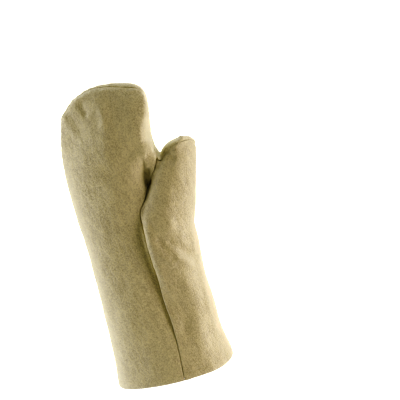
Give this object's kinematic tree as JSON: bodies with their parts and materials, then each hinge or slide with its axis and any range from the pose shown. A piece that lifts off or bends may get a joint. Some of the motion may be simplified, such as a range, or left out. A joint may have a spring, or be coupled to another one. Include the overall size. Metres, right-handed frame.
{
  "type": "heat resistant mitten",
  "caption": "Long felted twill mitten for the right hand, with a flared cuff and a thumb set on a long palm seam, lying palm up.",
  "frame": {"origin": "middle of the footprint, on the surface that the mitten's back rests on", "axes": "+Y from the cuff to the fingertips, +X to the thumb side, +Z out of the palm, away from the surface"},
  "size_m": [0.1739, 0.38, 0.0744],
  "materials": {
    "palm_cloth": "brushed twill, matt",
    "thumb_cloth": "brushed twill, matt",
    "back_cloth": "brushed twill, matt"
  },
  "bodies": {
    "root": {"palm_panel": "palm_cloth", "thumb_panel": "thumb_cloth", "back_panel": "back_cloth"}
  },
  "joints": []
}
